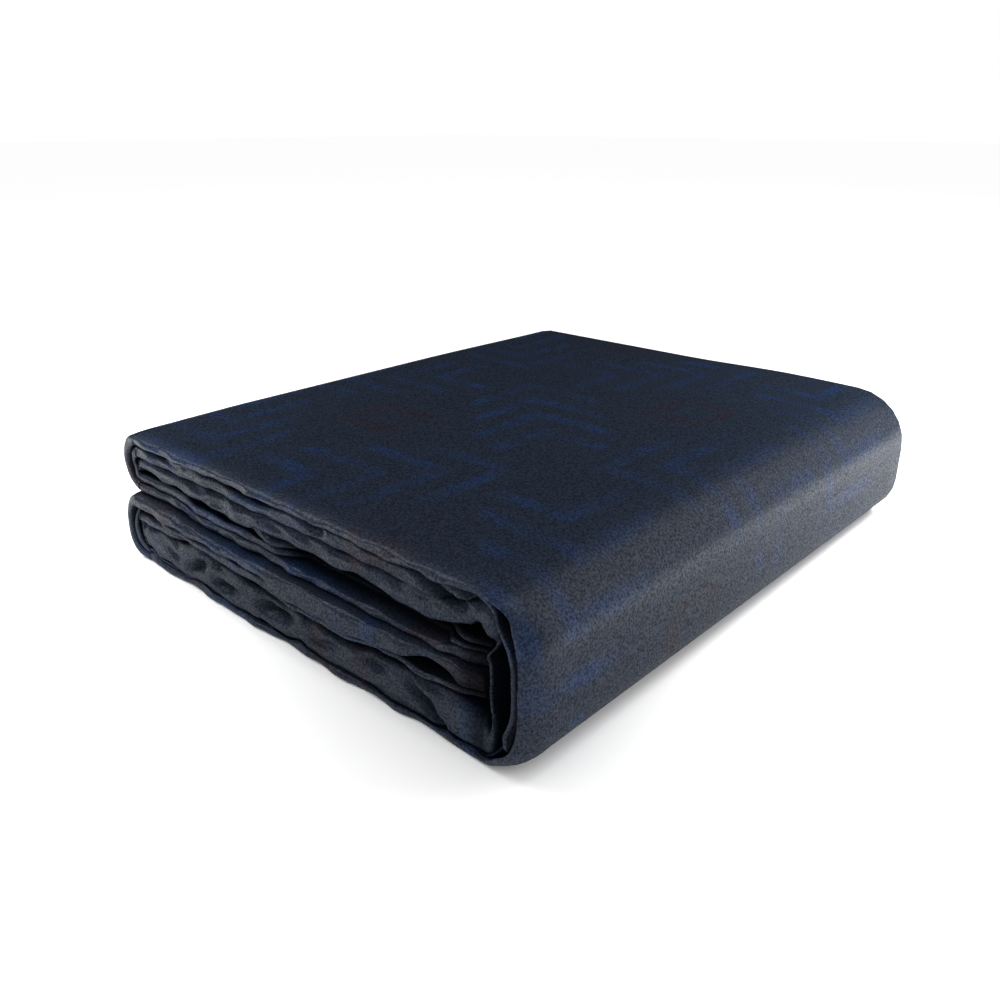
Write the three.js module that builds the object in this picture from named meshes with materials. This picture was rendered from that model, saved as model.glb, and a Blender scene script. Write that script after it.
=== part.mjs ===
import * as THREE from "three";

// A light quilted comforter, folded for a shelf.
//
// The cloth is one sheet. It is folded in half twice across its width, which gives a strip of
// four sheets: both hems and one folded edge lie in front, the other folds lie at the back.
// Both ends of the strip are then folded in to the middle, and the whole is closed like a book.
// Seen from the front, the strip runs back and forth in four layers: two small folds lie one
// above the other at -X, one big round fold takes in all the layers at +X.
//
// Millimetres. +Z is up, X runs from the small folds to the big one, and the hems face -Y.
// The origin is at the middle of the base.

const LENGTH = 445; // X
const WIDTH = 538; // Y
const HEIGHT = 116; // Z

const SHEET = 5.9; // the cloth with its thin filling
const HEM = 2.6; // the stitched edge, with no filling
const AIR = 1.3; // between two sheets of the strip
const LAYER_AIR = 1.6; // between two layers of the strip
const PITCH = SHEET + AIR;
const STRIP = 4 * SHEET + 3 * AIR; // thickness of the strip

const LOOP_HEIGHT = (HEIGHT - LAYER_AIR) / 2; // each small fold
const LOOP_RADIUS = LOOP_HEIGHT / 2;
const LOOP_REACH = 0.8; // a small fold sticks out this share of its radius
const LOOP_SQUARENESS = 2.2; // 2 is round
const UPPER_LOOP_SET_BACK = 5; // the upper small fold ends short of the lower one

const TOP_RADIUS = 48; // the big fold, outside
const BASE_RADIUS = 36;
const STRIP_END = LENGTH / 2 - STRIP - 15; // X of the two ends of the strip, inside the big fold

const HEM_TAPER = 16; // the hem thins over this width
const SWAY_DEPTH = 130; // how far in from the front the layers rise and sink

// How far each front edge stands out, along the strip. "at" counts the pieces of the strip
// (0 second layer, 1 upper small fold, 2 top layer, 3 big fold, 4 lowest layer,
// 5 lower small fold, 6 third layer), with the share of the way along the piece.
const EDGES = [
  { at: 0.0, hem: -10, innerHem: -14, fold: -20 },
  { at: 0.2, hem: 1, innerHem: -5, fold: -13 },
  { at: 0.4, hem: 2, innerHem: 0, fold: -12 },
  { at: 0.6, hem: 2, innerHem: 1, fold: -3 },
  { at: 0.8, hem: 3, innerHem: 1, fold: -6 },
  { at: 1.0, hem: 2, innerHem: 0, fold: -5 },
  { at: 1.5, hem: 0, innerHem: -2, fold: -10 },
  { at: 2.0, hem: 2, innerHem: 0, fold: -2 },
  { at: 2.3, hem: 1, innerHem: 3, fold: 1 },
  { at: 2.5, hem: 2, innerHem: 4, fold: 3 },
  { at: 2.7, hem: -1, innerHem: 1, fold: 2 },
  { at: 2.9, hem: 0, innerHem: 2, fold: -2 },
  { at: 3.1, hem: -4, innerHem: -3, fold: -12 },
  { at: 3.5, hem: -8, innerHem: -7, fold: -24 },
  { at: 3.9, hem: -1, innerHem: -4, fold: -14 },
  { at: 4.1, hem: 4, innerHem: 1, fold: -6 },
  { at: 4.3, hem: 5, innerHem: 4, fold: 1 },
  { at: 4.5, hem: 3, innerHem: 5, fold: 4 },
  { at: 4.7, hem: 3, innerHem: 3, fold: -1 },
  { at: 4.9, hem: 2, innerHem: 2, fold: 1 },
  { at: 5.0, hem: 1, innerHem: 0, fold: -2 },
  { at: 5.5, hem: 2, innerHem: -1, fold: -9 },
  { at: 6.0, hem: 7, innerHem: 4, fold: 0 },
  { at: 6.3, hem: 11, innerHem: 7, fold: 3 },
  { at: 6.5, hem: 10, innerHem: 8, fold: 5 },
  { at: 6.7, hem: 11, innerHem: 5, fold: -5 },
  { at: 6.9, hem: 6, innerHem: 2, fold: -4 },
  { at: 7.0, hem: -10, innerHem: -12, fold: -20 },
];

const FURTHEST = Math.max(...EDGES.flatMap((row) => [row.hem, row.innerHem, row.fold]));
const FRONT = -WIDTH / 2 + FURTHEST; // the plane that the front edges stand out from
const BACK = WIDTH / 2;

// How far the three seams between the layers rise (+) or sink (-) at the front edge.
const SEAMS = [
  { x: -215, low: 1, middle: 8, high: 0 },
  { x: -130, low: 4, middle: 9, high: -1 },
  { x: -60, low: 0, middle: 7, high: -3 },
  { x: 0, low: 3, middle: 8, high: 1 },
  { x: 70, low: 1, middle: 7, high: -4 },
  { x: 130, low: 4, middle: 8, high: -5 },
  { x: 215, low: 0, middle: 3, high: 0 },
];

// Distances in from the front edge at which a sheet gets a row of corners.
const FRONT_ROWS = [0, 4, 9, HEM_TAPER, 38, 80];

// The runs share one spacing, so that each layer lies true on the next.
const RUN_STEPS = 10;
const LOOP_STEPS = 6;
const CORNER_STEPS = 4;
const BACK_STEPS = 6;
const FOLD_STEPS = 4;

const CLOTH = { color: 0x1c2536, roughness: 0.85, metalness: 0.0 };

const mix = (a, b, share) => a + (b - a) * share;
const ease = (share) => share * share * (3 - 2 * share);
const clamp = (value) => Math.min(Math.max(value, 0), 1);

// Reads the named column of a table at a place between its rows, without a kink at a row.
function column(table, key, place, name) {
  const next = table.findIndex((row) => row[key] > place);
  if (next === 0) return table[0][name];
  if (next < 0) return table[table.length - 1][name];
  const [before, after] = [table[next - 1], table[next]];
  return mix(before[name], after[name], ease((place - before[key]) / (after[key] - before[key])));
}

// One turn of a fold: points on an arc about (y, depth), from one angle to another.
function turn(y, depth, radius, from, to, steps, edge) {
  const points = [];
  for (let i = 1; i < steps; i += 1) {
    const angle = mix(from, to, i / steps);
    points.push({
      y: y + radius * Math.cos(angle),
      depth: depth + radius * Math.sin(angle),
      half: SHEET / 2,
      edge,
    });
  }
  return points;
}

// One sheet of the strip, from the front edge to the back, at its depth below the outer side.
function sheet(number, front, back, edge, hemmed) {
  const depth = SHEET / 2 + PITCH * number;
  const points = FRONT_ROWS.map((row) => {
    const full = hemmed ? ease(clamp(row / HEM_TAPER)) : 1;
    return { y: front + row, depth, half: mix(HEM, SHEET, full) / 2, edge };
  });
  points.push({ y: back, depth, half: SHEET / 2, edge });
  return points;
}

// The middle line of the cloth across the strip, from the outer hem to the inner one.
function crossRoute() {
  const right = Math.PI / 2;
  const back = BACK - STRIP / 2;
  const foldFront = FRONT + PITCH / 2 + SHEET / 2;
  const foldDepth = STRIP - SHEET / 2 - PITCH / 2;
  return [
    ...sheet(0, FRONT, back, "hem", true),
    ...turn(back, STRIP / 2, 1.5 * PITCH, -right, right, BACK_STEPS, "hem"),
    ...sheet(3, foldFront, back, "fold", false).reverse(),
    ...turn(foldFront, foldDepth, PITCH / 2, right, 3 * right, FOLD_STEPS, "fold"),
    ...sheet(2, foldFront, back, "fold", false),
    ...turn(back, STRIP / 2, PITCH / 2, right, -right, FOLD_STEPS, "innerHem"),
    ...sheet(1, FRONT, back, "innerHem", true).reverse(),
  ];
}

// Both faces of the cloth, as a closed ring of points about the middle line.
function crossRing() {
  const route = crossRoute();
  const offset = (point, i, side) => {
    const before = route[Math.max(i - 1, 0)];
    const after = route[Math.min(i + 1, route.length - 1)];
    const along = new THREE.Vector2(after.y - before.y, after.depth - before.depth).normalize();
    return {
      y: point.y - side * along.y * point.half,
      depth: point.depth + side * along.x * point.half,
      edge: point.edge,
    };
  };
  const inner = route.map((point, i) => offset(point, i, 1));
  const outer = route.map((point, i) => offset(point, i, -1));
  return [...inner, ...outer.reverse()];
}

// A small fold at -X: a squarish half ring about its middle, outside at depth 0.
function loopPoint(x, z, angle, depth) {
  const radius = LOOP_RADIUS - depth;
  const power = 2 / LOOP_SQUARENESS;
  const bulge = (value) => Math.sign(value) * Math.abs(value) ** power;
  return [x + LOOP_REACH * radius * bulge(Math.cos(angle)), z + radius * bulge(Math.sin(angle))];
}

const cornerPoint = (x, z, radius, angle, depth) => [
  x + (radius - depth) * Math.cos(angle),
  z + (radius - depth) * Math.sin(angle),
];

// The stations along the strip. Each gives its place in the EDGES table and where a point at
// some depth of the strip lies.
function stations() {
  const loopX = -LENGTH / 2 + LOOP_REACH * LOOP_RADIUS;
  const upperLoopX = loopX + UPPER_LOOP_SET_BACK;
  const bigX = LENGTH / 2 - TOP_RADIUS;
  const right = Math.PI / 2;
  const list = [];
  const add = (from, to, steps, locate) => {
    for (let i = list.length ? 1 : 0; i <= steps; i += 1) {
      const share = i / steps;
      list.push({ at: mix(from, to, share), locate: (depth) => locate(share, depth) });
    }
  };
  const middle = HEIGHT - LOOP_HEIGHT;
  add(0, 1, RUN_STEPS, (share, depth) => [mix(STRIP_END, upperLoopX, share), middle + depth]);
  add(1, 2, LOOP_STEPS, (share, depth) =>
    loopPoint(upperLoopX, HEIGHT - LOOP_RADIUS, mix(-right, -3 * right, share), depth));
  add(2, 3, RUN_STEPS, (share, depth) => [mix(upperLoopX, bigX, share), HEIGHT - depth]);
  add(3, 3.5, CORNER_STEPS, (share, depth) =>
    cornerPoint(bigX, HEIGHT - TOP_RADIUS, TOP_RADIUS, mix(right, 0, share), depth));
  add(3.5, 4, CORNER_STEPS, (share, depth) =>
    cornerPoint(LENGTH / 2 - BASE_RADIUS, BASE_RADIUS, BASE_RADIUS, mix(0, -right, share), depth));
  add(4, 5, RUN_STEPS, (share, depth) => [mix(LENGTH / 2 - BASE_RADIUS, loopX, share), depth]);
  add(5, 6, LOOP_STEPS, (share, depth) =>
    loopPoint(loopX, LOOP_RADIUS, mix(-right, -3 * right, share), depth));
  add(6, 7, RUN_STEPS, (share, depth) => [mix(loopX, STRIP_END, share), LOOP_HEIGHT - depth]);
  return list;
}

// Lifts or sinks a point with the seams between the layers, most at the front edge. The base
// and the top stay where they are, and the order of the sheets never changes.
function sway(x, y, z) {
  const near = ease(clamp(1 - (y - FRONT) / SWAY_DEPTH));
  const levels = [0, "low", "middle", "high", 0];
  const level = clamp(z / HEIGHT) * (levels.length - 1);
  const below = Math.min(Math.floor(level), levels.length - 2);
  const [lower, upper] = [levels[below], levels[below + 1]].map((name) =>
    name === 0 ? 0 : column(SEAMS, "x", x, name));
  return z + near * mix(lower, upper, level - below);
}

function comforterGeometry() {
  const ring = crossRing();
  const sections = stations();
  const count = ring.length;
  const positions = [];
  for (const station of sections) {
    for (const point of ring) {
      const [x, z] = station.locate(point.depth);
      const near = ease(clamp(1 - (point.y - FRONT) / FRONT_ROWS.at(-1)));
      const y = point.y - near * column(EDGES, "at", station.at, point.edge);
      positions.push(x, y, sway(x, y, z));
    }
  }
  const faces = [];
  for (let s = 0; s + 1 < sections.length; s += 1) {
    for (let i = 0; i < count; i += 1) {
      const j = (i + 1) % count;
      const [a, b, c, d] = [s * count + i, s * count + j, (s + 1) * count + j, (s + 1) * count + i];
      faces.push(a, b, c, a, c, d);
    }
  }
  // The two ends of the strip: each is a ladder between the faces of the cloth.
  const last = (sections.length - 1) * count;
  for (let i = 0; i + 1 < count / 2; i += 1) {
    const [p, q, r, s] = [i, i + 1, count - 2 - i, count - 1 - i];
    faces.push(p, r, q, p, s, r);
    faces.push(last + p, last + q, last + r, last + p, last + r, last + s);
  }
  const geometry = new THREE.BufferGeometry();
  geometry.setAttribute("position", new THREE.Float32BufferAttribute(positions, 3));
  geometry.setIndex(faces);
  geometry.computeVertexNormals();
  return geometry;
}

const comforter = new THREE.Mesh(comforterGeometry(), new THREE.MeshStandardMaterial(CLOTH));
comforter.name = "comforter";

const model = new THREE.Group();
model.add(comforter);

export default model;
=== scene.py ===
import math

import bpy
import numpy as np
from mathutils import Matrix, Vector, noise


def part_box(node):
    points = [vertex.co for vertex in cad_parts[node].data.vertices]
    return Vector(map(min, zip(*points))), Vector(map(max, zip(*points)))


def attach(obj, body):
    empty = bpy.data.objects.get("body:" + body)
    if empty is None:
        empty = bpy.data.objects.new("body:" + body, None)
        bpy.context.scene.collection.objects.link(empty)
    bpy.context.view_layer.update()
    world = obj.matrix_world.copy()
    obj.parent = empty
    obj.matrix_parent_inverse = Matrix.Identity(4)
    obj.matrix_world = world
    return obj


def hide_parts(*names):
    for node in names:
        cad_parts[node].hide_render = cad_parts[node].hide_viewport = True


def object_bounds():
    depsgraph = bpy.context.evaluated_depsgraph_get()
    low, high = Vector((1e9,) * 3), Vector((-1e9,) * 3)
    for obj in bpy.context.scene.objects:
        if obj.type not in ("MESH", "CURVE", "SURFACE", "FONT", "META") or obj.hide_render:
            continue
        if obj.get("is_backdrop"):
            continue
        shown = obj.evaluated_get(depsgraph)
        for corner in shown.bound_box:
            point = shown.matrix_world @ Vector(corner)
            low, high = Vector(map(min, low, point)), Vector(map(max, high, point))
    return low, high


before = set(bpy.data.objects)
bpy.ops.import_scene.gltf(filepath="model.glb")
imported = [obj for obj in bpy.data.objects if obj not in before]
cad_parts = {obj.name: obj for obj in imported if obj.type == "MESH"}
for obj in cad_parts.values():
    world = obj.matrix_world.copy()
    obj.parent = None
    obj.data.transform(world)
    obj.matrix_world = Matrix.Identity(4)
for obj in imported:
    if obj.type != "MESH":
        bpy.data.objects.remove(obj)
cad_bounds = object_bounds()


# --- Camera -------------------------------------------------------------------------------
# A standing shopper's view of the shelf: from the hem side, over the front corner at the big
# fold, a little wide.
CAMERA_AT = Vector((0.4778, -0.5682, 0.3436))
CAMERA_AZIMUTH = math.radians(42.31)
CAMERA_PITCH = math.radians(22.80)
CAMERA_LENS = 32.72

camera = bpy.data.objects.new("camera", bpy.data.cameras.new("camera"))
camera.data.lens = CAMERA_LENS
camera.data.sensor_width = 36.0
camera.data.clip_start = 0.01
camera.location = CAMERA_AT
camera.rotation_euler = (math.pi / 2 - CAMERA_PITCH, 0.0, CAMERA_AZIMUTH)
bpy.context.scene.collection.objects.link(camera)
bpy.context.scene.camera = camera


# --- Comforter ----------------------------------------------------------------------------
# One sheet of light quilted cloth, a sateen cover with a thin filling. It is folded in half
# twice across its width, which makes a strip of four sheets; both ends of the strip are
# folded in to the middle, and the whole is closed like a book. Its edges are stitched hems.
MM = 0.001  # the sizes of the cloth are in millimetres

low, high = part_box("comforter")
LENGTH = (high.x - low.x) / MM
WIDTH = (high.y - low.y) / MM
HEIGHT = (high.z - low.z) / MM

SHEET = 5.9  # the cloth with its filling
AIR = 1.3  # between two sheets of the strip
LAYER_AIR = 1.6  # between the upper and the lower half
PITCH = SHEET + AIR
STRIP = 4 * SHEET + 3 * AIR  # thickness of the strip

MIDDLE = (HEIGHT + LAYER_AIR) / 2  # underside of the upper half
LOOP_RADIUS = (HEIGHT - LAYER_AIR) / 4
LOOP_REACH = 0.8  # a small fold sticks out this share of its radius
LOOP_SQUARENESS = 2.2  # 2 is round
LOOP_X = -LENGTH / 2 + LOOP_REACH * LOOP_RADIUS
UPPER_LOOP_X = LOOP_X + 7.0
LOOP_DRAWN_IN = 4.0  # a small fold is drawn in this much at the front
LOWER_LOOP_SAG = 1.7  # 1 is evenly round

TOP_RADIUS = 48.0  # the big fold, outside
BASE_RADIUS = 36.0
TOP_X = LENGTH / 2 - TOP_RADIUS
BASE_X = LENGTH / 2 - BASE_RADIUS
STRIP_END = LENGTH / 2 - STRIP - 14.0
END_STRETCH = 5.0  # the free ends reach this much further at the front
END_SHARE = 0.25  # the share of a layer's length that stretches with its free end

FRONT = -WIDTH / 2 + 11.0  # the front edges stand out from this plane
BACK = WIDTH / 2 - 2.0
REACH_DEPTH = 80.0  # how far in from the front an edge is pushed or pulled
PRESS_DEPTH = 110.0  # how far in the sheets are pressed together or apart
ROLL_DEPTH = 20.0  # how far in the outer side rolls over

# The pieces of the strip in order, each with the X where it starts and ends: the second layer,
# the upper small fold, the top layer, the big fold, the lowest layer, the lower small fold and
# the third layer. A place in a fold is a share of the way round it, elsewhere an X.
SECOND, UPPER_LOOP, TOP, BIG_FOLD, LOWEST, LOWER_LOOP, THIRD = range(7)
RUNS = {
    SECOND: (STRIP_END, UPPER_LOOP_X),
    TOP: (UPPER_LOOP_X, TOP_X),
    LOWEST: (BASE_X, LOOP_X),
    THIRD: (LOOP_X, STRIP_END),
}


def place(piece, where):
    """A place on the strip as one number: the piece, and the share of the way along it."""
    if piece in RUNS:
        start, end = RUNS[piece]
        return piece + (where - start) / (end - start)
    return piece + where


# The front edges along the strip. How far the outer hem, the inner hem and the folded edge
# stand out; how thick each is there, with the air between them; how far the outer side rolls
# over.
COLUMNS = ("place", "hem_out", "inner_out", "fold_out", "hem", "hem_air", "inner", "inner_air",
           "fold", "roll")
LAYOUT = tuple((place(*row[:2]), *row[2:]) for row in (
    (SECOND, 181, -2, -3, -4, 8.0, 0.4, 2.5, 0.6, 4.2, 0.0),
    (SECOND, 162, 2, 0, -1, 7.5, 0.4, 2.5, 0.8, 4.0, 0.0),
    (SECOND, 142, 3, -9, -11, 5.5, 0.2, 3.5, 0.3, 5.0, 0.0),
    (SECOND, 110, 3, -11, -13, 5.0, 0.2, 4.0, 0.3, 5.0, 0.0),
    (SECOND, 60, 3, -11, -13, 5.0, 0.2, 5.0, 0.3, 5.5, 0.0),
    (SECOND, 14, 3, -11, -13, 6.0, 0.2, 4.0, 0.3, 4.5, 0.0),
    (SECOND, -14, 3, 1, 2, 6.5, 0.3, 5.0, 0.4, 6.5, 0.0),
    (SECOND, -50, 3, 2, -3, 7.0, 0.4, 6.5, 0.5, 4.0, 0.0),
    (SECOND, -140, 3, 3, -8, 7.5, 0.8, 7.5, 0.4, 2.5, 0.0),
    (SECOND, -190, 4, 3, -6, 7.0, 0.6, 8.0, 0.4, 3.0, 0.3),
    (UPPER_LOOP, 0.5, 6, 4, 3, 10.0, 1.6, 9.0, 0.4, 5.0, 0.3),
    (TOP, -190, 6, 5, 3, 7.5, 1.4, 8.5, 0.8, 12.0, 3.0),
    (TOP, -130, 6, 5, 5, 4.6, 0.7, 10.0, 0.8, 14.5, 4.0),
    (TOP, 60, 6, 5, 5, 4.6, 0.5, 10.5, 0.7, 15.0, 4.0),
    (TOP, 150, 6, 5, 4, 5.0, 0.5, 9.5, 0.7, 15.5, 4.0),
    (TOP, 173, 5, 2, 3, 4.0, 1.0, 6.5, 0.8, 17.0, 3.0),
    (BIG_FOLD, 0.08, 4, 2, 3, 3.0, 0.6, 3.5, 0.6, 17.0, 2.5),
    (BIG_FOLD, 0.15, 3, 4, 4, 2.0, 1.0, 3.0, 0.6, 19.0, 2.5),
    (BIG_FOLD, 0.22, 2, 5, 3, 1.6, 7.0, 2.5, 1.5, 14.0, 2.0),
    (BIG_FOLD, 0.29, 3, 5, -4, 1.6, 5.0, 2.2, 14.0, 6.5, 5.5),
    (BIG_FOLD, 0.38, 4, 5, 0, 2.5, 2.5, 2.5, 22.5, 2.0, 7.5),
    (BIG_FOLD, 0.50, 5, 6, 0, 2.5, 1.4, 2.5, 25.0, 2.0, 8.5),
    (BIG_FOLD, 0.70, 5, 6, 0, 2.5, 1.4, 2.5, 21.5, 2.0, 8.5),
    (BIG_FOLD, 0.85, 5, -4, 2, 3.0, 2.0, 1.5, 11.5, 4.0, 8.0),
    (BIG_FOLD, 0.97, 5, 2, 4, 4.0, 0.2, 0.9, 0.3, 23.0, 3.0),
    (LOWEST, 172, 4, 3, 5, 5.0, 0.1, 0.6, 0.1, 31.5, 1.0),
    (LOWEST, 130, 4, 3, 5, 5.0, 0.1, 0.6, 0.1, 32.5, 1.0),
    (LOWEST, 40, 4, 2.5, 5, 5.0, 0.1, 0.6, 0.1, 27.0, 1.0),
    (LOWEST, -60, 4, 2.5, 5, 5.0, 0.1, 0.6, 0.1, 33.0, 0.5),
    (LOWEST, -150, 3, 1.5, 4, 5.5, 0.1, 0.8, 0.1, 30.0, 0.5),
    (LOWEST, -185, 2, 1, 3, 5.0, 0.4, 3.0, 0.5, 25.0, 0.5),
    (LOWER_LOOP, 0.5, 6, 4, 2, 8.0, 1.8, 8.0, 5.0, 4.0, 0.5),
    (THIRD, -185, 9, 1, 7, 8.5, 0.8, 1.5, 4.0, 6.5, 4.5),
    (THIRD, -150, 11, 8, 8, 8.0, 1.5, 3.0, 0.6, 8.5, 4.5),
    (THIRD, -115, 11, 9, 4, 8.3, 1.4, 4.5, 0.6, 2.1, 1.2),
    (THIRD, -30, 11, 9, 3, 7.0, 0.9, 7.5, 0.4, 2.5, 0.5),
    (THIRD, 10, 11, 8, 2, 17.0, 0.3, 4.0, 0.4, 2.5, 0.5),
    (THIRD, 60, 11, 9, 2, 17.0, 0.3, 4.0, 0.4, 2.5, 0.5),
    (THIRD, 110, 11, 9, 2, 12.0, 0.3, 3.0, 0.4, 2.5, 0.5),
    (THIRD, 165, 9, 8, 2, 12.0, 0.5, 4.0, 0.4, 2.5, 0.5),
    (THIRD, 181, 3, 2, -3, 12.0, 0.6, 4.0, 0.6, 3.0, 0.0),
))

# Single pockets, swells and dents of the front edges: what changes, where, over what half
# length along the strip, and by how much at its middle.
DENTS = (
    ("hem_air", TOP, -32, 50, 4.6),
    ("inner", TOP, -32, 50, -3.0),
    ("inner_out", TOP, -34, 50, -1.5),
    ("hem_air", TOP, -152, 22, 2.2),
    ("inner_out", TOP, -152, 24, -1.5),
    ("inner_air", TOP, -90, 60, 2.2),
    ("fold_out", TOP, -90, 60, -1.5),
    ("inner_air", TOP, 62, 16, 2.0),
    ("inner_air", TOP, 114, 12, 1.8),
    ("fold", TOP, -20, 20, -2.0),
    ("fold", TOP, 76, 24, -2.5),
    ("fold", TOP, -70, 28, 3.4),
    ("fold", TOP, -148, 28, -3.6),
    ("fold", TOP, 134, 34, 3.0),
    ("fold", SECOND, -20, 22, 4.0),
    ("fold_out", SECOND, -14, 18, 3.0),
    ("fold", SECOND, 126, 30, -2.0),
    ("hem", SECOND, 126, 32, -1.5),
    ("inner_air", BIG_FOLD, 0.42, 15, 2.0),
    ("hem_air", BIG_FOLD, 0.57, 20, 3.0),
    ("hem", BIG_FOLD, 0.57, 20, 1.5),
    ("inner_air", BIG_FOLD, 0.57, 20, -6.0),
    ("hem", THIRD, 143, 26, -7.0),
    ("hem_air", THIRD, 141, 26, 8.2),
    ("hem_out", THIRD, 145, 28, -5.0),
    ("fold", THIRD, 141, 26, -0.8),
    ("hem_air", THIRD, -48, 34, 1.8),
    ("fold", THIRD, -84, 26, 2.5),
    ("fold", LOWEST, -119, 25, 3.2),
    ("fold", LOWEST, -82, 18, -3.0),
    ("fold", LOWEST, -46, 16, -2.5),
    ("fold", LOWEST, -19, 20, -2.2),
    ("fold", LOWEST, 9, 24, -3.2),
    ("hem", LOWEST, 10, 13, 3.5),
    ("hem", LOWEST, -118, 22, 2.0),
    ("hem", LOWEST, -194, 12, 4.0),
    ("hem_out", LOWEST, -6, 24, -1.8),
    ("hem_out", LOWEST, 133, 28, -2.5),
    ("hem_out", LOWEST, -128, 34, -2.0),
)

# Hollows and ridges pressed into the front side: X and Z of the middle, half the length and
# half the width, how far it is tilted up to the right in degrees, and how deep it is.
HOLLOWS = (
    (153, 102, 30, 5.0, -17, 10.0),
    (178, 105, 12, 4.0, -20, 5.0),
    (42, 106, 15, 3.5, -8, 6.0),
    (-16, 23, 33, 8.0, 2, 12.5),
    (-77, 21, 26, 7.0, 4, 11.0),
    (-117, 25, 23, 6.0, 24, 11.0),
    (94, 27, 19, 5.5, 0, 5.5),
    (139, 19, 29, 7.5, -34, 11.5),
    (-152, 23, 18, 5.0, -14, 5.5),
    (40, 20, 26, 5.0, 5, 5.0),
    (156, 68, 9, 5.0, 40, -3.0),
)
HOLLOW_DEPTH = 40.0  # how far in a hollow fades out

# The back droops, less to the right of its middle.
BACK_DROOP = 2.0
BACK_DROOP_START = 60.0
BACK_HUMP_X = 105.0
BACK_HUMP_HALF = 110.0

# How far the seam between the upper and the lower half rises at the front edge, along X.
SEAM_COLUMNS = ("x", "rise")
SEAM = ((-222, 7.0), (-185, 8.0), (-150, 8.0), (-110, 4.0), (-60, 3.0), (60, 3.0), (150, 3.0),
        (190, 3.5))

WAVE_LENGTH = 32.0  # of the small unevenness of the front edges
WAVE_APART = 7.3  # so that the three edges don't wave alike
OUT_WAVE = 1.2
THICK_WAVE = 0.14
THICK_WAVE_RATE = 0.8  # the thickness waves more slowly
CRUMPLE_LENGTH = 11.0  # of the finest creases there
CRUMPLE_APART = 3.1
CRUMPLE = 0.35
RUMPLE_DEPTH = 24.0  # all the sheets together wave up and down, this far in from the front
RUMPLE_LENGTH = 17.0
RUMPLE_HEIGHT = 10.0
RUMPLE_LIFT = 1.0
CREASE_LENGTH = 20.0  # shallow creases along the front side
CREASE_HEIGHT = 4.5
CREASE = 2.0
SMOOTH_LEFT = -205.0  # to the left of here the small folds stay smooth
SMOOTH_RIGHT = 192.0  # and to the right of here the big fold
SMOOTH_RUN = 25.0


def curve(table, columns, name, places):
    """Reads a column of a table at many places, along a smooth curve through its rows."""
    rows = np.array(table, float)
    keys, values = rows[:, 0], rows[:, columns.index(name)]
    steps = np.diff(values) / np.diff(keys)
    turning = steps[:-1] * steps[1:] <= 0
    sums = np.where(turning, 1.0, steps[:-1] + steps[1:])
    inner = np.where(turning, 0.0, 2 * steps[:-1] * steps[1:] / sums)
    slopes = np.concatenate([[0.0], inner, [0.0]])
    places = np.clip(places, keys[0], keys[-1])
    i = np.clip(np.searchsorted(keys, places, side="right") - 1, 0, len(keys) - 2)
    span = keys[i + 1] - keys[i]
    t = (places - keys[i]) / span
    return (
        (2 * t**3 - 3 * t**2 + 1) * values[i]
        + (t**3 - 2 * t**2 + t) * span * slopes[i]
        + (3 * t**2 - 2 * t**3) * values[i + 1]
        + (t**3 - t**2) * span * slopes[i + 1]
    )


def ease(share):
    """A soft change from 0 to 1."""
    share = np.clip(share, 0.0, 1.0)
    return share * share * (3.0 - 2.0 * share)


# Rows of corners across the cloth: close together at the front, wide apart where hidden.
FRONT_ROWS = (0, 0.12, 0.5, 1.2, 2.2, 3.8, 7, 11, 16, 21, 30, 44, 64, 88, 112)
FINE_DEPTH = 22.0  # the rows up to here have all the stations along the strip
NOSE = 2.4  # an edge is rounded over this width
NOSE_SQUARENESS = 3.0
NOSE_SHARE = 0.3  # what is left of the thickness at the very edge
SHOWN_ROWS = 16  # from the last row to the back, on the outer sheet
HIDDEN_ROWS = 2
BACK_STEPS = 12
INNER_BACK_STEPS = 5
FOLD_STEPS = 18
FOLD_SQUARENESS = 2.8  # 2 is round


def turn(y, depth, radius, start, end, steps, edge, squareness=2.0):
    """One turn of a fold: points on an arc about (y, depth), without its two ends."""
    angles = np.linspace(start, end, steps + 1)[1:-1]
    cosines, sines = np.cos(angles), np.sin(angles)
    across = np.sign(cosines) * abs(cosines) ** (2 / squareness)
    deep = np.sign(sines) * abs(sines) ** (2 / squareness)
    return [(y + radius * a, depth + radius * b, SHEET / 2, edge) for a, b in zip(across, deep)]


def sheet(number, front, back, edge, hemmed, rows_behind):
    """One sheet of the strip, from the front edge to the back, at its depth."""
    depth = SHEET / 2 + PITCH * number
    points = []
    for row in FRONT_ROWS:
        share = 1.0
        if hemmed and row < NOSE:
            round_off = 1 - (1 - row / NOSE) ** NOSE_SQUARENESS
            share = max(round_off ** (1 / NOSE_SQUARENESS), NOSE_SHARE)
        points.append((front + row, depth, share * SHEET / 2, edge))
    for y in np.linspace(front + FRONT_ROWS[-1], back, rows_behind + 1)[1:]:
        points.append((y, depth, SHEET / 2, edge))
    return points


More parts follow.
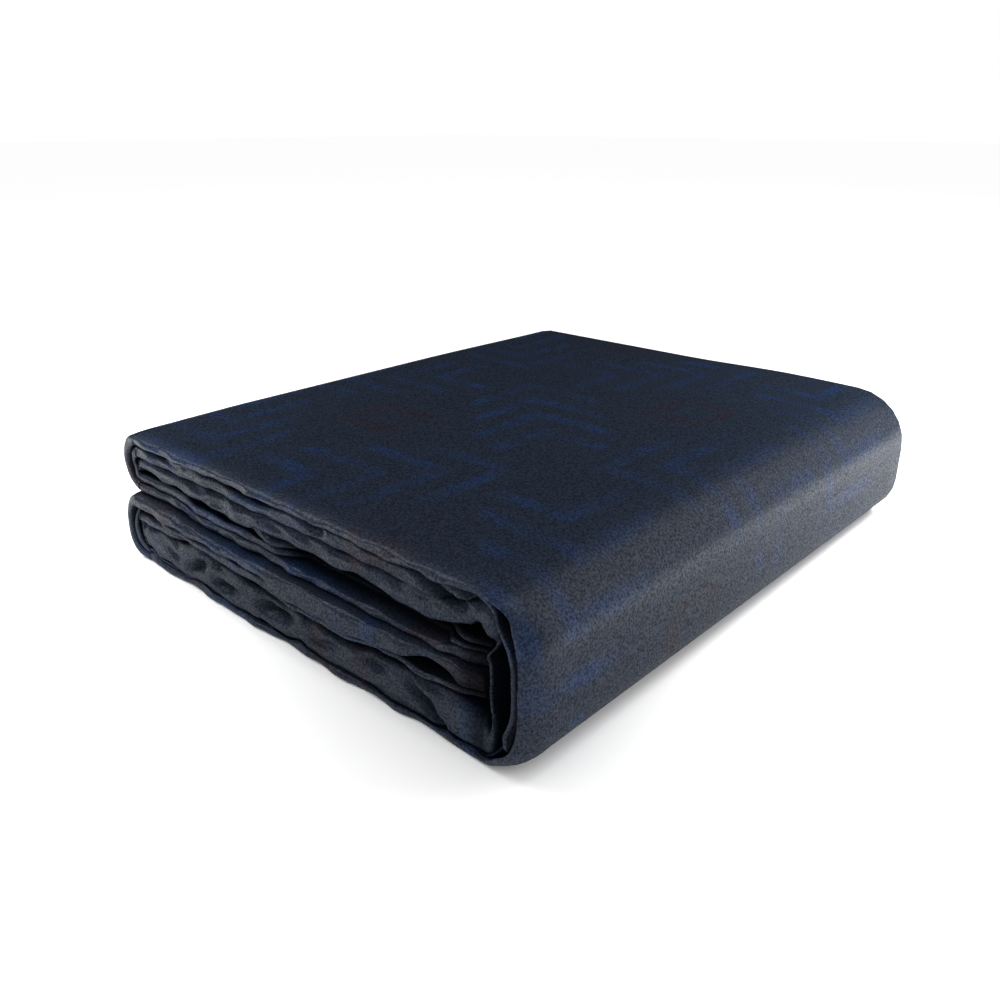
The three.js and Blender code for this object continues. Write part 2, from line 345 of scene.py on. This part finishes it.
def cross_ring(front, back):
    """Both faces of the cloth across the strip, as a closed ring of points."""
    right = math.pi / 2
    back_turn = back - STRIP / 2
    fold_front = front + PITCH / 2 + SHEET / 2
    fold_depth = STRIP - SHEET / 2 - PITCH / 2
    hem, inner, fold = 0, 1, 2
    route = sheet(0, front, back_turn, hem, True, SHOWN_ROWS)
    route += turn(back_turn, STRIP / 2, 1.5 * PITCH, -right, right, BACK_STEPS, hem)
    route += sheet(3, fold_front, back_turn, fold, False, HIDDEN_ROWS)[::-1]
    route += turn(fold_front, fold_depth, PITCH / 2, right, 3 * right, FOLD_STEPS, fold,
                  FOLD_SQUARENESS)
    route += sheet(2, fold_front, back_turn, fold, False, HIDDEN_ROWS)
    route += turn(back_turn, STRIP / 2, PITCH / 2, right, -right, INNER_BACK_STEPS, inner)
    route += sheet(1, front, back_turn, inner, True, HIDDEN_ROWS)[::-1]
    y, depth, half, edge = np.array(route).T
    along = np.stack([np.gradient(y), np.gradient(depth)])
    along /= np.linalg.norm(along, axis=0)
    across = np.concatenate([[0.0], np.cumsum(np.hypot(np.diff(y), np.diff(depth)))])
    inside = (y - along[1] * half, depth + along[0] * half)
    outside = (y + along[1] * half, depth - along[0] * half)
    count = len(y)
    outer = np.arange(count) < len(FRONT_ROWS) + SHOWN_ROWS + BACK_STEPS
    return {
        "y": np.concatenate([inside[0], outside[0][::-1]]),
        "outer": np.concatenate([np.zeros(count, bool), outer[::-1]]),
        "depth": np.concatenate([inside[1], outside[1][::-1]]),
        "edge": np.concatenate([edge, edge[::-1]]).astype(int),
        "across": np.concatenate([across, across[::-1]]),
    }


# Painted shade: how much of its colour and gloss the cloth keeps, from 0 inside the folds, where
# shade falls, to 1 at its open edges. It is full this far in from the front: the outer hem, the
# inner hem and the folded edge.
PAINTED_SHADE_DEPTHS = np.array([3.6, 1.5, 5.0])
BIG_FOLD_SHADE_REACH = 0.22  # in the big fold the painted shade comes in at only this share of that depth
LEDGE_SHADE_DEPTH = 16.0  # the outer faces of the middle layers get painted shade beyond this far in from the front
BACK_SHADE_DEPTH = 14.0  # and in from the back
FULL_SHADE_SET_BACK = 10.0  # an edge that stands this far back gets the full painted shade of a recess
HOLLOW_SHADING = 0.075  # painted shade: what a hollow loses of its colour for each millimetre of its depth
END_SHADE_RUN = 30.0  # painted shade: towards the free ends the colour darkens to full shade over this length
RIM_HIGHLIGHT_DEPTH = 14.0  # all other outer faces get a painted highlight along the front, this far in
FLAT_SHADE_TONE = 0.8  # painted shade: their tone elsewhere, outside the big fold
RIM_HIGHLIGHT = 0.3  # a painted highlight added along their front
FOLD_SHADE_X = 166.0  # to the right of here the inner sheets get painted shade under the big fold
FOLD_SHADE_TOP = 100.0
FOLD_SHADE_RUN = 18.0
FOLD_SHADE = 0.75  # what the painted shade under the big fold takes away

RUN_STEP = 2.8  # between stations along the strip
COARSE = 3  # behind the front, only one station in this many
LOOP_STEPS = 24
CORNER_STEPS = 18


def stations():
    """The stations along the strip: the place in LAYOUT, the X of the seam above or below it,
    and where a point lies. That comes from its depth, from the strip's whole depth at both
    ends of a small fold, from how far the seam has risen and from how near the front it is."""
    listed = []

    def stepped(steps):
        steps = COARSE * round(steps / COARSE)
        return np.linspace(0, 1, steps + 1)[1 if listed else 0:]

    def run(piece, height, stretch=lambda share: 0.0):
        start, end = RUNS[piece]
        for share in stepped(abs(end - start) / RUN_STEP):
            x = start + (end - start) * share
            pull = END_STRETCH * stretch(share)

            def locate(depth, ends, rise, pressed, x=x, pull=pull):
                return x + pull * pressed, height(depth, rise)

            listed.append((piece + share, x, locate))

    def loop(piece, x, floor, roof, sag):
        power = 2 / LOOP_SQUARENESS
        for share in stepped(LOOP_STEPS):
            angle = -math.pi / 2 - math.pi * share
            out = [np.sign(v) * abs(v) ** power for v in (math.cos(angle), math.sin(angle))]
            out[1] = 2 * ((out[1] + 1) / 2) ** sag - 1

            def locate(depth, ends, rise, pressed, out=out, x=x):
                x = x + LOOP_DRAWN_IN * pressed
                low, high = floor(rise), roof(rise)
                # The core is the strip's inner side, the rim its outer side.
                core_low, core_high = low + ends[0], high - ends[1]
                core = (core_high - core_low) / 2
                core_x = x + LOOP_REACH * core * out[0]
                core_z = (core_low + core_high) / 2 + core * out[1]
                rim = (high - low) / 2
                rim_x = x + LOOP_REACH * rim * out[0]
                rim_z = (low + high) / 2 + rim * out[1]
                return rim_x + (core_x - rim_x) * depth, rim_z + (core_z - rim_z) * depth

            listed.append((piece + share, x, locate))

    def corner(first, x, z, radius, start):
        for share in stepped(CORNER_STEPS):
            angle = start - math.pi / 2 * share

            def locate(depth, ends, rise, pressed, angle=angle):
                inward = radius - depth
                return x + inward * math.cos(angle), z + inward * math.sin(angle)

            listed.append((first + share / 2, x, locate))

    run(SECOND, lambda depth, rise: MIDDLE + rise + depth,
        lambda share: ease(1 - share / END_SHARE))
    loop(UPPER_LOOP, UPPER_LOOP_X, lambda rise: MIDDLE + rise, lambda rise: HEIGHT, 1.0)
    run(TOP, lambda depth, rise: HEIGHT - depth)
    corner(BIG_FOLD, TOP_X, HEIGHT - TOP_RADIUS, TOP_RADIUS, math.pi / 2)
    wall = HEIGHT - TOP_RADIUS - BASE_RADIUS
    for share in stepped(wall / RUN_STEP):

        def locate(depth, ends, rise, pressed, z=HEIGHT - TOP_RADIUS - wall * share):
            return LENGTH / 2 - depth, z + 0 * depth

        listed.append((BIG_FOLD + 0.5, BASE_X, locate))
    corner(BIG_FOLD + 0.5, BASE_X, BASE_RADIUS, BASE_RADIUS, 0.0)
    run(LOWEST, lambda depth, rise: depth)
    loop(LOWER_LOOP, LOOP_X, lambda rise: 0.0, lambda rise: MIDDLE - LAYER_AIR + rise,
         LOWER_LOOP_SAG)
    run(THIRD, lambda depth, rise: MIDDLE - LAYER_AIR + rise - depth,
        lambda share: ease(1 - (1 - share) / END_SHARE))
    return listed


STACK = ("hem", "hem_air", "inner", "inner_air", "fold")
LOOPS = (UPPER_LOOP, LOWER_LOOP)
BIG_FOLD_RUN = 0.6  # from the middle of the big fold to where it has no more effect
INNER_STIFFNESS = 0.7  # in the big fold, the folded edge rolls this much less than the hems


def in_big_fold(at):
    """1 at the middle of the big fold, and 0 away from it."""
    return float(ease(1 - abs(at - BIG_FOLD - 0.5) / BIG_FOLD_RUN))


def layout(at, distance, distance_of):
    """The LAYOUT values at a station, with the dents and the small unevenness."""
    values = {name: float(curve(LAYOUT, COLUMNS, name, at)) for name in COLUMNS[1:]}
    for name, piece, where, half, amount in DENTS:
        off = abs(distance - distance_of(place(piece, where))) / half
        if off < 1:
            values[name] += amount * (1 + math.cos(math.pi * off)) / 2
    # The last number of a spot only keeps one kind of unevenness apart from the others.
    for i, name in enumerate(("hem", "inner", "fold")):
        spot = Vector((distance / WAVE_LENGTH, WAVE_APART * i, 0.5))
        fine_spot = Vector((distance / CRUMPLE_LENGTH, CRUMPLE_APART * i, 4.0))
        thick_spot = THICK_WAVE_RATE * spot + Vector((0, 0, 9))
        values[name + "_out"] += OUT_WAVE * noise.noise(spot) + CRUMPLE * noise.noise(fine_spot)
        values[name] *= 1 + THICK_WAVE * noise.noise(thick_spot)
    values["full"] = sum(values[name] for name in STACK)
    return values


def pressed_depth(ring, at, values):
    """How deep each point of the ring lies at a station."""
    from_front = ring["y"] - FRONT
    pressed = ease(1 - from_front / PRESS_DEPTH)
    near = np.clip(1 - from_front / ROLL_DEPTH, 0, 1)
    rolled = 1 - np.sqrt(1 - near**2)
    flat = np.array([0.0, SHEET, PITCH, PITCH + SHEET, 2 * PITCH, STRIP])
    front_knots = np.concatenate([[0.0], np.cumsum([values[name] for name in STACK])])
    rolls = 1 - INNER_STIFFNESS * in_big_fold(at) * (flat >= 2 * PITCH)
    knots = flat[:, None] + (front_knots - flat)[:, None] * pressed
    knots += values["roll"] * rolls[:, None] * rolled
    i = np.clip(np.searchsorted(flat, ring["depth"], side="right") - 1, 0, len(flat) - 2)
    share = (ring["depth"] - flat[i]) / (flat[i + 1] - flat[i])
    points = np.arange(len(i))
    return knots[i, points] * (1 - share) + knots[i + 1, points] * share


def pressed_in(x, y, z):
    """How far back the hollows push a point."""
    push = np.zeros_like(y)
    fade = ease(1 - (y - FRONT) / HOLLOW_DEPTH)
    for mid_x, mid_z, half_length, half_width, tilt, deep in HOLLOWS:
        tilt = math.radians(tilt)
        length = (x - mid_x) * math.cos(tilt) + (z - mid_z) * math.sin(tilt)
        width = (z - mid_z) * math.cos(tilt) - (x - mid_x) * math.sin(tilt)
        off = np.minimum(np.hypot(length / half_length, width / half_width), 1)
        push += deep * (1 + np.cos(math.pi * off)) / 2
    return push * fade


def rumpled(x, y, z):
    """How far the small unevenness of the front pushes a point back and lifts it."""
    fade = ease(1 - (y - FRONT) / RUMPLE_DEPTH)
    fade *= ease((x - SMOOTH_LEFT) / SMOOTH_RUN) * ease((SMOOTH_RIGHT - x) / SMOOTH_RUN)
    push, lift = np.zeros_like(y), np.zeros_like(y)
    for i in np.flatnonzero(fade):
        push[i] = CREASE * noise.noise((x[i] / CREASE_LENGTH, 2.0, z[i] / CREASE_HEIGHT))
        lift[i] = RUMPLE_LIFT * noise.noise((x[i] / RUMPLE_LENGTH, 9.0, z[i] / RUMPLE_HEIGHT))
    return push * fade, lift * fade * ease(z / RUMPLE_HEIGHT)


def drooped(x, y):
    """How much of its height a point loses towards the back."""
    back = ease((y - BACK_DROOP_START) / (BACK - BACK_DROOP_START))
    hump = ease(1 - abs(x - BACK_HUMP_X) / BACK_HUMP_HALF)
    return BACK_DROOP / HEIGHT * back * (1 - hump)


def joined(grid, fine):
    """Faces between neighbouring rows. Rows behind the front skip stations, so a face between
    a row with all of them and one without has more corners."""
    faces = []
    count = grid.shape[1]
    for j in range(count):
        k = (j + 1) % count
        left, right = grid[:, j], grid[:, k]
        if fine[j] and fine[k]:
            faces.append(np.stack([left[:-1], right[:-1], right[1:], left[1:]], axis=1))
        elif not fine[j] and not fine[k]:
            left, right = left[::COARSE], right[::COARSE]
            faces.append(np.stack([left[:-1], right[:-1], right[1:], left[1:]], axis=1))
        else:
            spans = np.arange(0, len(left) - 1, COARSE)[:, None]
            steps = np.arange(COARSE + 1)
            if fine[j]:
                corners = [right[spans], right[spans + COARSE], left[spans + steps[::-1]]]
            else:
                corners = [left[spans + COARSE], left[spans], right[spans + steps]]
            faces.append(np.concatenate(corners, axis=1))
    return [face for block in faces for face in block.tolist()]


def comforter_mesh():
    """The whole cloth, with its flat length and width and where the top layer ends along it."""
    ring = cross_ring(FRONT, BACK)
    listed = stations()
    count = len(ring["y"])

    # Distance along the strip, measured on the outer sheet. In a small fold a depth is a share
    # of the strip's.
    middle, unpressed = np.array([SHEET / 2 / STRIP]), np.array([0.0])
    spine = []
    for at, _, locate in listed:
        depth = middle if math.ceil(at) - 1 in LOOPS else middle * STRIP
        spine.append(locate(depth, (STRIP, STRIP), unpressed, unpressed))
    spine = np.array(spine)[:, :, 0]
    along = np.concatenate([[0.0], np.cumsum(np.hypot(*np.diff(spine, axis=0).T))])
    places = [at for at, _, _ in listed]

    def distance_of(at):
        return float(np.interp(at, places, along))

    def full_at(at):
        return sum(float(curve(LAYOUT, COLUMNS, name, at)) for name in STACK)

    from_front = ring["y"] - FRONT
    reached = ease(1 - from_front / REACH_DEPTH)
    pressed = ease(1 - from_front / PRESS_DEPTH)
    points = np.zeros((len(listed), count, 3))
    shown = np.zeros((len(listed), count))
    for s, (at, seam_x, locate) in enumerate(listed):
        values = layout(at, along[s], distance_of)
        rise = pressed * float(curve(SEAM, SEAM_COLUMNS, "rise", seam_x))
        depth = pressed_depth(ring, at, values)
        piece, ends = math.ceil(at) - 1, ()
        if piece in LOOPS:
            fulls = full_at(piece), full_at(piece + 1), values["full"]
            *ends, here = [STRIP + (full - STRIP) * pressed for full in fulls]
            depth = depth / here
        x, z = locate(depth, ends, rise, pressed)
        out = np.array([values["hem_out"], values["inner_out"], values["fold_out"]])
        y = ring["y"] - reached * out[ring["edge"]]
        push = pressed_in(x, y, z)
        crease, lift = rumpled(x, y, z)
        y, z = y + push + crease, z + lift
        points[s] = np.stack([x, y, z * (1 - drooped(x, y))], axis=1)

        # Painted shade: colour and gloss are darkened inside the folds, where shade falls, and
        # kept at the open edges. The outer hem stays unshaded on all that the inner hem leaves
        # open.
        outer = ring["outer"]
        shade_depths = PAINTED_SHADE_DEPTHS + np.array([max(out[0] - out[1], 0), 0, 0])
        shade_depth = shade_depths[ring["edge"]] * (1 - (1 - BIG_FOLD_SHADE_REACH) * in_big_fold(at))
        shown[s] = ease(1 - from_front / shade_depth)
        # Painted highlight along the front rim of the outer faces, and painted shade on them
        # elsewhere, outside the big fold.
        if UPPER_LOOP <= at <= THIRD:
            rim = ease(1 - from_front / RIM_HIGHLIGHT_DEPTH)
            wear_and_rim_light = np.maximum(rim, in_big_fold(at))
            rim_highlight = RIM_HIGHLIGHT * rim * (1 - in_big_fold(at))
            shown[s, outer] = (FLAT_SHADE_TONE + (1 - FLAT_SHADE_TONE) * wear_and_rim_light + rim_highlight)[outer]
        else:
            # Painted shade on the outer faces of the middle layers, except near the front and the
            # back.
            ledge = ease(1 - from_front / LEDGE_SHADE_DEPTH)
            from_back = BACK - ring["y"]
            shown[s, outer] = np.maximum(ledge, ease(1 - from_back / BACK_SHADE_DEPTH))[outer]
        # Painted shade in the hollows, deeper the further they are pressed in.
        shown[s] *= 1 - HOLLOW_SHADING * np.maximum(push, 0)
        # Painted shade on edges set back from the front.
        set_back = np.maximum(-out, 0)[ring["edge"]]
        shown[s] *= ease(1 - set_back / FULL_SHADE_SET_BACK)
        # Painted shade towards the free ends of the strip.
        from_end = min(along[s], along[-1] - along[s])
        shown[s] *= ease(from_end / END_SHADE_RUN)
        # Painted shade on the inner sheets under the big fold.
        if not BIG_FOLD < at < LOWEST:
            fold_shade_share = ease((x - FOLD_SHADE_X) / FOLD_SHADE_RUN) * ease((FOLD_SHADE_TOP - z) / FOLD_SHADE_RUN)
            shown[s, ~outer] *= (1 - FOLD_SHADE * fold_shade_share)[~outer]

    fine = from_front < FINE_DEPTH
    kept = np.zeros(points.shape[:2], bool)
    kept[:, fine] = True
    kept[::COARSE] = True
    grid = np.full(kept.shape, -1)
    grid[kept] = np.arange(kept.sum())
    faces = joined(grid, fine)
    i = np.arange(count // 2 - 1)
    first = np.stack([i, count - 1 - i, count - 2 - i, i + 1], axis=1)
    faces += grid[0][first].tolist() + grid[-1][first[:, ::-1]].tolist()

    mesh = bpy.data.meshes.new("comforter_cloth")
    mesh.from_pydata((points[kept] * MM).tolist(), [], faces)
    uv = mesh.uv_layers.new(name="cloth")
    flat = np.stack(np.broadcast_arrays(along[:, None], ring["across"]), axis=2)
    corners = np.zeros(len(mesh.loops), int)
    mesh.loops.foreach_get("vertex_index", corners)
    uv.data.foreach_set("uv", (flat[kept] * MM)[corners].ravel())
    # The shown attribute carries the painted shade and the painted rim highlight.
    mesh.attributes.new("shown", "FLOAT", "POINT").data.foreach_set("value", shown[kept])
    mesh.validate()
    mesh.shade_smooth()
    return mesh, along[-1] * MM, ring["across"].max() * MM, distance_of(TOP + 1)


cloth_mesh, flat_length, flat_width, top_end = comforter_mesh()
comforter = bpy.data.objects.new("comforter_cloth", cloth_mesh)
bpy.context.scene.collection.objects.link(comforter)


class Wire:
    """A socket in a material. Sums on wires add Math nodes."""

    def __init__(self, tree, socket=None):
        self.tree = tree
        self.socket = socket

    def node(self, kind, settings=None, inputs=None, output=0):
        """Adds a node: first its settings, then the values or wires of its sockets."""
        node = self.tree.nodes.new(kind)
        for name, value in (settings or {}).items():
            setattr(node, name, value)
        for key, value in (inputs or {}).items():
            if isinstance(value, Wire):
                self.tree.links.new(value.socket, node.inputs[key])
            else:
                node.inputs[key].default_value = value
        return Wire(self.tree, node.outputs[output])

    def math(self, operation, *values):
        return self.node("ShaderNodeMath", {"operation": operation}, dict(enumerate(values)))

    def __add__(self, other):
        return self.math("ADD", self, other)

    def __sub__(self, other):
        return self.math("SUBTRACT", self, other)

    def __rsub__(self, other):
        return self.math("SUBTRACT", other, self)

    def __mul__(self, other):
        return self.math("MULTIPLY", self, other)

    def __truediv__(self, other):
        return self.math("DIVIDE", self, other)

    def __abs__(self):
        return self.math("ABSOLUTE", self)

    __radd__ = __add__
    __rmul__ = __mul__


def soft_step(value, edge, width):
    """0 below the edge and 1 above it, with a soft change between."""
    sockets = {"Value": value, "From Min": edge - width / 2, "From Max": edge + width / 2}
    return value.node("ShaderNodeMapRange", {"interpolation_type": "SMOOTHSTEP"}, sockets)


def blend_colours(factor, first, second):
    sockets = {"Factor": factor, "A": first, "B": second}
    return factor.node("ShaderNodeMix", {"data_type": "RGBA"}, sockets, output=2)


def varied(amounts, wire):
    """The least amount, and what the wire adds to it."""
    return amounts[0] + amounts[1] * wire


def speckle(tree, place, size, detail=1.0):
    """Even noise from 0 to 1, with spots of this size in metres."""
    sockets = {"Vector": place, "Scale": 1 / size, "Detail": detail}
    return Wire(tree).node("ShaderNodeTexNoise", {}, sockets)


# The woven figure: right-angled corners nested in each other, in squares of this side in
# metres. On the top layer the middle of one figure is at this X and Y, in millimetres.
SQUARE = 0.178
FIGURE_X = 104.0
FIGURE_Y = -100.0

# The sizes of the figure, as shares of the square.
CORNER_START = 0.14  # the innermost corner
CORNER_END = 0.86  # and where they stop
CORNER_PITCH = 0.175
CORNER_LINE = 0.036  # half the width of a line
CORNER_ARM = 0.43
LINE_BLUR = 0.03
ARM_BLUR = 0.06
END_BLUR = 0.02
RING_HOLE = 0.09  # a stepped square ring where four arms meet
RING_EDGE = 0.17
RING_STRENGTH = 0.6

# The sizes of the worn patches and of the grain of the weave, in metres.
PATCH = 0.030
BROAD_PATCH = 0.11
GRAIN = 0.0015
GRAIN_HEIGHT = 0.0005

NAVY = (0.0135, 0.0190, 0.0315, 1)
INK_BLUE = (0.0118, 0.0228, 0.0570, 1)
OXBLOOD = (0.0200, 0.0145, 0.0210, 1)
PAINTED_SHADE_TONE = 0.18  # painted shade: what is left of the colour and the gloss inside the folds

# How the patches and the grain change things: the least there is, and what they add to it.
LINE_PATCHES = (0.15, 0.95)
LINE_BROAD_PATCHES = (0.62, 0.5)
GRAIN_LIGHT = (0.55, 0.9)
GRAIN_GLOSS = (0.13, 0.26)

# Where the patches and the grain change from low to high, and over what width.
PATCH_EDGE = (0.5, 0.45)
BROAD_PATCH_EDGE = (0.5, 0.3)
RING_PATCH_EDGE = (0.45, 0.3)
GRAIN_EDGE = (0.5, 0.5)


def figure_lines(u, v, odd):
    """Where the lines of the nested corners are. Odd squares have them the other way round."""
    inner = u.math("MINIMUM", u, v)
    outer = 1.0 - u.math("MAXIMUM", u, v)
    depth = inner * (1.0 - odd) + outer * odd
    half = CORNER_PITCH / 2
    ripple = depth.math("PINGPONG", depth - (CORNER_START - half), half)
    line = soft_step(ripple, half - CORNER_LINE, LINE_BLUR)
    line *= 1.0 - soft_step(abs(u - v), CORNER_ARM, ARM_BLUR)
    line *= soft_step(depth, CORNER_START - half, END_BLUR)
    line *= 1.0 - soft_step(depth, CORNER_END - half, END_BLUR)
    return line


def figure_ring(u, v):
    """Where the stepped square rings are, at two corners of each square."""
    nearest = u.math("MINIMUM", u.math("MAXIMUM", u, 1.0 - v), u.math("MAXIMUM", 1.0 - u, v))
    hole = soft_step(nearest, RING_HOLE, LINE_BLUR)
    return hole * (1.0 - soft_step(nearest, RING_EDGE, LINE_BLUR))


def sateen_material():
    material = bpy.data.materials.new("navy_sateen")
    material.use_nodes = True
    tree = material.node_tree
    wire = Wire(tree)
    place = wire.node("ShaderNodeUVMap", {"uv_map": "cloth"})
    parts = wire.node("ShaderNodeSeparateXYZ", inputs={0: place}).socket.node.outputs

    # Where a place is in its square, and whether the square is odd.
    middle_along = (top_end - (TOP_X - FIGURE_X)) * MM
    middle_across = (FIGURE_Y - FRONT) * MM
    squares_along = (Wire(tree, parts[0]) - middle_along) / SQUARE
    squares_across = (Wire(tree, parts[1]) - middle_across) / SQUARE
    u, v = [squares.math("PINGPONG", squares, 1.0) for squares in (squares_along, squares_across)]
    odd_u, odd_v = [
        squares.math("FLOORED_MODULO", squares.math("FLOOR", squares), 2.0)
        for squares in (squares_along, squares_across)
    ]
    line = figure_lines(u, v, abs(odd_u - odd_v))
    ring = figure_ring(u, v)

    # The figure is worn in patches and the whole cloth is grainy. Painted shade darkens colour and
    # gloss inside the folds.
    patchy = speckle(tree, place, PATCH, 2.0)
    broad = speckle(tree, place, BROAD_PATCH)
    spots = speckle(tree, wire.node("ShaderNodeTexCoord", output=3), GRAIN)
    grain = soft_step(spots, *GRAIN_EDGE)
    wear_and_rim_light = varied(LINE_PATCHES, soft_step(patchy, *PATCH_EDGE))
    wear_and_rim_light *= varied(LINE_BROAD_PATCHES, soft_step(broad, *BROAD_PATCH_EDGE))
    line *= wear_and_rim_light
    ring *= RING_STRENGTH * soft_step(patchy, *RING_PATCH_EDGE)
    colour = blend_colours(ring, blend_colours(line, NAVY, INK_BLUE), OXBLOOD)
    # The shown attribute carries the painted shade and the painted rim highlight; they scale the
    # colour and the gloss.
    shown = wire.node("ShaderNodeAttribute", {"attribute_name": "shown"}, output=2)
    shade_factor = PAINTED_SHADE_TONE + (1 - PAINTED_SHADE_TONE) * shown
    light = varied(GRAIN_LIGHT, grain) * shade_factor
    colour = wire.node("ShaderNodeVectorMath", {"operation": "SCALE"}, {0: colour, "Scale": light})
    gloss = varied(GRAIN_GLOSS, grain) * shade_factor
    relief = {"Height": spots, "Strength": 0.5, "Distance": GRAIN_HEIGHT}
    bump = wire.node("ShaderNodeBump", inputs=relief)

    shader = tree.nodes["Principled BSDF"]
    for name, varying in (("Base Color", colour), ("Normal", bump), ("Coat Weight", gloss)):
        tree.links.new(varying.socket, shader.inputs[name])
    shader.inputs["Coat Roughness"].default_value = 0.35
    shader.inputs["Specular IOR Level"].default_value = 0.0
    shader.inputs["Roughness"].default_value = 0.8
    return material


comforter.data.materials.append(sateen_material())

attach(comforter, "root")
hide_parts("comforter")


# --- Studio -------------------------------------------------------------------------------
# A plain pale floor in a pale studio: a white world all round, a big window behind, a lamp in
# front, and two pools of light that keep the floor white on both sides.
FLOOR_SIZE = 30.0
FLOOR_WHITE = (0.98, 0.98, 0.98, 1)

bpy.ops.object.select_all(action="DESELECT")
bpy.ops.mesh.primitive_plane_add(size=FLOOR_SIZE)
floor = bpy.context.object
floor.name = "floor"
floor_paint = bpy.data.materials.new("floor_paint")
floor_paint.use_nodes = True
floor_shader = floor_paint.node_tree.nodes["Principled BSDF"]
floor_shader.inputs["Base Color"].default_value = FLOOR_WHITE
floor_shader.inputs["Roughness"].default_value = 1.0
floor_shader.inputs["Specular IOR Level"].default_value = 0.0
floor.data.materials.append(floor_paint)
floor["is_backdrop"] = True

world = bpy.data.worlds.new("studio")
bpy.context.scene.world = world
world.use_nodes = True
background = world.node_tree.nodes["Background"]
background.inputs["Color"].default_value = (1, 1, 1, 1)
background.inputs["Strength"].default_value = 1.0
world.cycles_visibility.glossy = False
bpy.context.scene.view_settings.view_transform = "Standard"


def softbox(name, place, target, size, radiance, spread=180.0):
    """A square area light that faces its target."""
    light = bpy.data.lights.new(name, "AREA")
    light.size = size
    light.energy = radiance * math.pi * size**2
    light.spread = math.radians(spread)
    box = bpy.data.objects.new(name, light)
    box.location = place
    box.rotation_euler = (Vector(target) - Vector(place)).to_track_quat("-Z", "Y").to_euler()
    bpy.context.scene.collection.objects.link(box)


HEART = (0, 0, 0.05)  # of the comforter
softbox("right_pool", (0.85, 0.70, 1.0), (0.85, 0.70, 0), size=0.9, radiance=12, spread=80)
softbox("left_pool", (-0.75, -0.55, 0.9), (-0.75, -0.55, 0), size=0.6, radiance=8, spread=80)
softbox("window", (1.5, 2.1, 1.25), HEART, size=2.1, radiance=2.2)
softbox("left_lamp", (-1.45, -0.75, 1.6), HEART, size=1.2, radiance=3.8)

box_lists = {"cad": cad_bounds, "visual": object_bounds()}
{name: [list(corner) for corner in box] for name, box in box_lists.items()}
